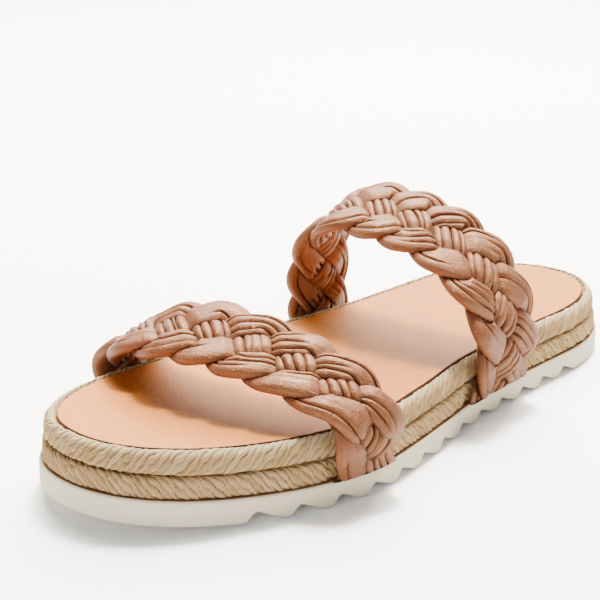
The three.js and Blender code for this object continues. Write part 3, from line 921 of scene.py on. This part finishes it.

# %% [markdown]
# Dry jute has no gloss, only fibres. Three noises, stretched along the twist on the UV map, give long
# fibres, brown wisps and fine hairs. Colour runs from straw to brown, with painted shade in the grooves and
# at the seams, where dark stitched joints run too, and a painted highlight on the top edge of the upper
# band.

# %% Jute fibres


def jute(name, lean, painted_highlight_from):
    """Straw yellow strands, each a little different, with painted shade between them, long fibres along the
    twist, and a painted highlight where the top edge catches the light."""
    straw = material(name, Specular_IOR_Level=0.15)
    uv = straw.uv()
    along_twist = straw.stretched(uv, (1, 1, 1), (0, 0, math.atan2(1.0, lean)))
    fibres = straw.noise(straw.stretched(along_twist, (0.45, 3.4, 1.0)), 1.0, 6.0, 0.7)
    wisps = straw.noise(straw.stretched(along_twist, (0.2, 1.6, 1.0)), 1.0, 3.0)
    hairs = straw.noise(straw.stretched(along_twist, (0.8, 8.5, 1.0)), 1.0, 3.0)
    tone, groove, rise = straw.value("tone"), straw.value("groove"), straw.value("rise")
    body = straw.mix(tone, srgb(214, 174, 121), srgb(238, 206, 158))
    body = straw.mix(fibres.between(0.45, 0.68), body, srgb(242, 216, 168))
    body = straw.mix(hairs.between(0.52, 0.68) * 0.55, body, srgb(176, 134, 84))
    body = straw.mix(wisps.between(0.55, 0.7) * 0.6, body, srgb(158, 112, 62))
    # Painted highlight: pale cream on the top of the upper band's roll.
    body = straw.mix(rise.between(painted_highlight_from, painted_highlight_from + 2.0) * 0.8, body, srgb(255, 240, 196))
    # Painted shade: brown in the grooves between the strands.
    body = straw.mix(groove.between(0.35, 0.9) * 0.85, body, srgb(104, 68, 34))
    # Dark joints and painted shade at the seams.
    body = straw.mix(straw.value("seam").between(0.3, 0.95) * 0.6, body, srgb(88, 55, 27))
    return straw.wear(Base_Color=body, Roughness=0.82 + 0.14 * fibres,
                      Normal=straw.bump(fibres + wisps * 0.6 + hairs * 0.5, 0.0009))


make_piece("jute_wrap_lower", [jute_band(LOWER_PROFILE, 38, LOWER_LEAN, press=0.9, seed=3)],
           jute("jute_lower", LOWER_LEAN, painted_highlight_from=30.0), "jute_course_lower")
make_piece("jute_wrap_upper", [jute_band(UPPER_PROFILE, 46, UPPER_LEAN, press=0.1, seed=5)],
           jute("jute_upper", UPPER_LEAN, painted_highlight_from=21.6), "jute_course_upper")

# %% [markdown]
# The insole is a thin sheet of smooth leather, cut to the inside of the jute roll. Its top is nearly level,
# with soft hollows under heel and ball, and its edge is cut, rounded and darker. Rows round the
# outline make the edge, and a ladder of rungs across fills the top and the underside.

# %% Insole
INSOLE_SETBACK = ROLL_WIDTH + FIT_GAP
INSOLE_ROUND = 0.6
EDGE_DARKENING = np.array([1.0, 1.0, 1.0, 1.0, 0.9, 0.6, 0.35, 0.1])
HEEL_CUP = {"x": 44, "y": 0, "long": 34, "wide": 26, "deep": 0.55}
BALL_DIP = {"x": 178, "y": 3, "long": 36, "wide": 34, "deep": 0.35}


def hollow(points, dip):
    """Depth of a soft hollow: exp(-(x/long)^2 - (y/wide)^2), with x and y from its middle."""
    x, y = points[..., 0] - dip["x"], points[..., 1] - dip["y"]
    return dip["deep"] * np.exp(-(x / dip["long"]) ** 2 - (y / dip["wide"]) ** 2)


def insole_sheets():
    """The edge from its foot over its rounding, the top with its hollows, and the flat underside."""
    ring, normal = paired_ring(END_STATIONS)
    turn = np.linspace(0, math.pi / 2, 6)
    insets = np.concatenate([[INSOLE_SETBACK + 0.2, INSOLE_SETBACK],
                             INSOLE_SETBACK + INSOLE_ROUND * (1 - np.cos(turn))])
    heights = np.concatenate([[INSOLE_FLOOR, INSOLE_FLOOR + 0.2],
                              INSOLE_TOP - INSOLE_ROUND + INSOLE_ROUND * np.sin(turn)])
    edge = ring_rows(ring, normal, insets[:, None], heights[:, None])
    cut = np.broadcast_to(EDGE_DARKENING[:, None], edge.shape[:2])
    top, under = ladder(edge[-1]), ladder(edge[0])
    fade = smooth_step(0.0, 0.15, np.minimum(ACROSS_SHARES, 1 - ACROSS_SHARES))[None]
    top[..., 2] -= fade * (hollow(top, HEEL_CUP) + hollow(top, BALL_DIP))
    return [Sheet(edge, wrap_cols=True, flip=True, cut=cut), Sheet(top),
            Sheet(under, flip=True, cut=np.ones(under.shape[:2]))]


def insole_leather():
    """Smooth peach-tan leather, faintly mottled, with a fine grain and a dark cut edge."""
    leather = material("insole_leather", Specular_IOR_Level=0.36)
    here = leather.here()
    patch = leather.noise(here, 14.0, 3.0).between(0.3, 0.7)
    body = leather.mix(patch, srgb(200, 120, 34), srgb(210, 130, 42))
    body = leather.mix(leather.noise(here, 320.0, 2.0).between(0.45, 0.75) * 0.3, body, srgb(184, 104, 38))
    # Darker brown at the cut edge and on the underside.
    body = leather.mix(leather.value("cut").between(0.3, 0.8), body, srgb(66, 38, 26))
    grain = leather.cells(here, 1300.0).between(0.0, 0.3) * 0.6 + leather.noise(here, 2200.0, 2.0) * 0.5
    return leather.wear(Base_Color=body, Roughness=0.38 + 0.14 * leather.noise(here, 90.0, 2.0),
                        Normal=leather.bump(grain, 0.00012))


make_piece("insole_leather", insole_sheets(), insole_leather(), "insole")

# %% [markdown]
# The outsole is one moulding of white foam rubber. Its side is the outline carried up, and its underside is
# a saw-tooth line carried across: each notch has a steep face at its toe end, a rounded root and a long
# slope. The stations along the sole are placed closely where the teeth are, so that their corners stay
# sharp.

# %% Outsole
TOOTH_PITCH = 13.9
TOOTH_DEPTH = 3.6
TOOTH_STEEP_RUN = 1.9
TOOTH_ROOT_ROUND = 1.4
TOOTH_FLAT = 2.4
TOE_BLOCK = 36.5
HEEL_BLOCK = 40.0
CORNER_ROUND = 0.35
TOOTH_STATION_STEP = 0.45
SIDE_SHARES = np.array([0, 0.02, 0.06, 0.12, 0.3, 0.5, 0.7, 0.86, 0.93, 0.975, 1.0])
SIDE_INSETS = np.array([0.9, 0.35, 0.08, 0.0, 0.0, 0.0, 0.03, 0.08, 0.2, 0.5, 1.0])


def tooth_line(x):
    """Height of the underside over its smooth floor: notch after notch, with slightly rounded corners."""
    count = int((SOLE_LENGTH - TOE_BLOCK - HEEL_BLOCK) // TOOTH_PITCH)
    corners = []
    for index in range(count):
        tip = SOLE_LENGTH - TOE_BLOCK - index * TOOTH_PITCH
        root = tip - TOOTH_STEEP_RUN
        corners += [(tip, 0), (root, TOOTH_DEPTH - TOOTH_ROOT_ROUND / 2),
                    (root - TOOTH_ROOT_ROUND, TOOTH_DEPTH), (tip - TOOTH_PITCH + TOOTH_FLAT, 0)]
    corners = np.array(corners)[::-1]
    shifts = np.linspace(-CORNER_ROUND, CORNER_ROUND, 9)
    return np.mean([np.interp(x + shift, corners[:, 0], corners[:, 1]) for shift in shifts], axis=0)


def outsole_sheets():
    """A side band of rows round the outline, rounded in at its foot and its top edge, and two ladders across
    that close the underside and the top."""
    fine = np.arange(HEEL_BLOCK - 2, SOLE_LENGTH - TOE_BLOCK + 2, TOOTH_STATION_STEP)
    ends = END_STATIONS[(END_STATIONS < fine[0]) | (END_STATIONS > fine[-1])]
    ring, normal = paired_ring(np.sort(np.concatenate([ends, fine])))
    under = tooth_line(ring[:, 0])
    heights = under[None] + SIDE_SHARES[:, None] * (OUTSOLE_TOP - under[None])
    side = ring_rows(ring, normal, SIDE_INSETS[:, None], heights)
    glue_and_shade = np.interp(SIDE_SHARES, [0.96, 0.975, 1.0], [0.0, 0.35, 1.0])
    glue_and_shade = np.broadcast_to(glue_and_shade[:, None], side.shape[:2])
    teeth, top = ladder(side[0]), ladder(side[-1])
    return [Sheet(side, wrap_cols=True, flip=True, ledge=glue_and_shade), Sheet(teeth, flip=True),
            Sheet(top, ledge=np.ones(top.shape[:2]))]


def white_rubber():
    """Off-white foam rubber: a satin skin, faintly mottled, with a brown line on its top ledge that is
    part glue line and part painted shade under the jute.
    """
    rubber = material("outsole_rubber", Specular_IOR_Level=0.4)
    here = rubber.here()
    cloud = rubber.noise(here, 30.0, 4.0).between(0.3, 0.75)
    body = rubber.mix(cloud, srgb(240, 231, 208), srgb(246, 238, 217))
    # Glue line and painted shade: brown on the top ledge where the jute sits.
    body = rubber.mix(rubber.value("ledge").between(0.3, 0.9), body, srgb(150, 112, 78))
    pebble = rubber.noise(here, 1400.0, 3.0)
    return rubber.wear(Base_Color=body, Roughness=0.48 + 0.14 * cloud,
                       Normal=rubber.bump(pebble, 0.00008))


make_piece("outsole_moulding", outsole_sheets(), white_rubber(), "outsole")

# %% [markdown]
# White paper and warm studio light. The broad key lamp stands behind the shoe, opposite the camera, so the
# straps throw their shadows towards the camera. The small spark lamp beside it gives the strands their
# crisp glints. A low backdrop lamp is mirrored dimly by the insole, and a weak fill and an even sky light
# the rest.

# %% Floor and light
FLOOR_REACH = 2.2
FLOOR_DROP = 0.05
PAPER = (0.84, 0.86, 0.88, 1)
PAPER_SEEN = (1.66, 1.76, 1.95, 1)
SKY = (1, 0.99, 0.97, 1)
SKY_LIGHT = 0.26
SKY_SEEN = 7.0


def floor():
    """A wide disc of white paper. The photograph is exposed so that its floor is nearly pure white, so the
    paper, like the sky round it, looks brighter to the camera than to the shoe."""
    turn = np.linspace(0, 2 * math.pi, 180, endpoint=False)
    rim = FLOOR_REACH * np.stack([np.cos(turn), np.sin(turn), np.zeros(len(turn))], -1)
    mesh = bpy.data.meshes.new("floor")
    mesh.from_pydata((rim - (0, 0, FLOOR_DROP * MM)).tolist(), [], [range(len(turn))])
    plane = bpy.data.objects.new("floor", mesh)
    bpy.context.scene.collection.objects.link(plane)
    paper = material("paper", Specular_IOR_Level=0.0)
    seen = paper.node("ShaderNodeLightPath", output="Is Camera Ray")
    mesh.materials.append(paper.wear(Base_Color=paper.mix(seen, PAPER, PAPER_SEEN), Roughness=1.0))


def studio_sky():
    """An even, weak sky, which the camera sees as white."""
    sky = Finish(bpy.data.worlds.new("studio"), "Background", Color=SKY)
    seen = sky.node("ShaderNodeLightPath", output="Is Camera Ray")
    return sky.wear(Strength=seen * (SKY_SEEN - SKY_LIGHT) + SKY_LIGHT)


def lamp(name, place, target, size, power, colour):
    """A square area lamp, turned to look at its target."""
    data = bpy.data.lights.new(name, "AREA")
    data.size, data.energy, data.color = size, power, colour
    light = bpy.data.objects.new(name, data)
    bpy.context.scene.collection.objects.link(light)
    light.location = place
    light.visible_camera = False
    light.rotation_euler = (Vector(target) - Vector(place)).to_track_quat("-Z", "Y").to_euler()


floor()
lamp("key", (-0.68, -0.56, 1.17), (0, 0, 0.02), 1.4, 105, (1, 0.88, 0.72))
lamp("spark", (-0.35, -0.2, 1.2), (0, 0, 0.02), 0.22, 36, (1, 0.88, 0.74))
lamp("backdrop", (-1.7, -1.6, 0.7), (0, 0, 0.03), 2.2, 20, (1, 0.98, 0.96))
lamp("fill", (2.1, 0.4, 0.5), (0, 0, 0.03), 1.4, 11, (1, 0.97, 0.94))
bpy.context.scene.world = studio_sky()
print("lamps", [light.name for light in bpy.data.lights])
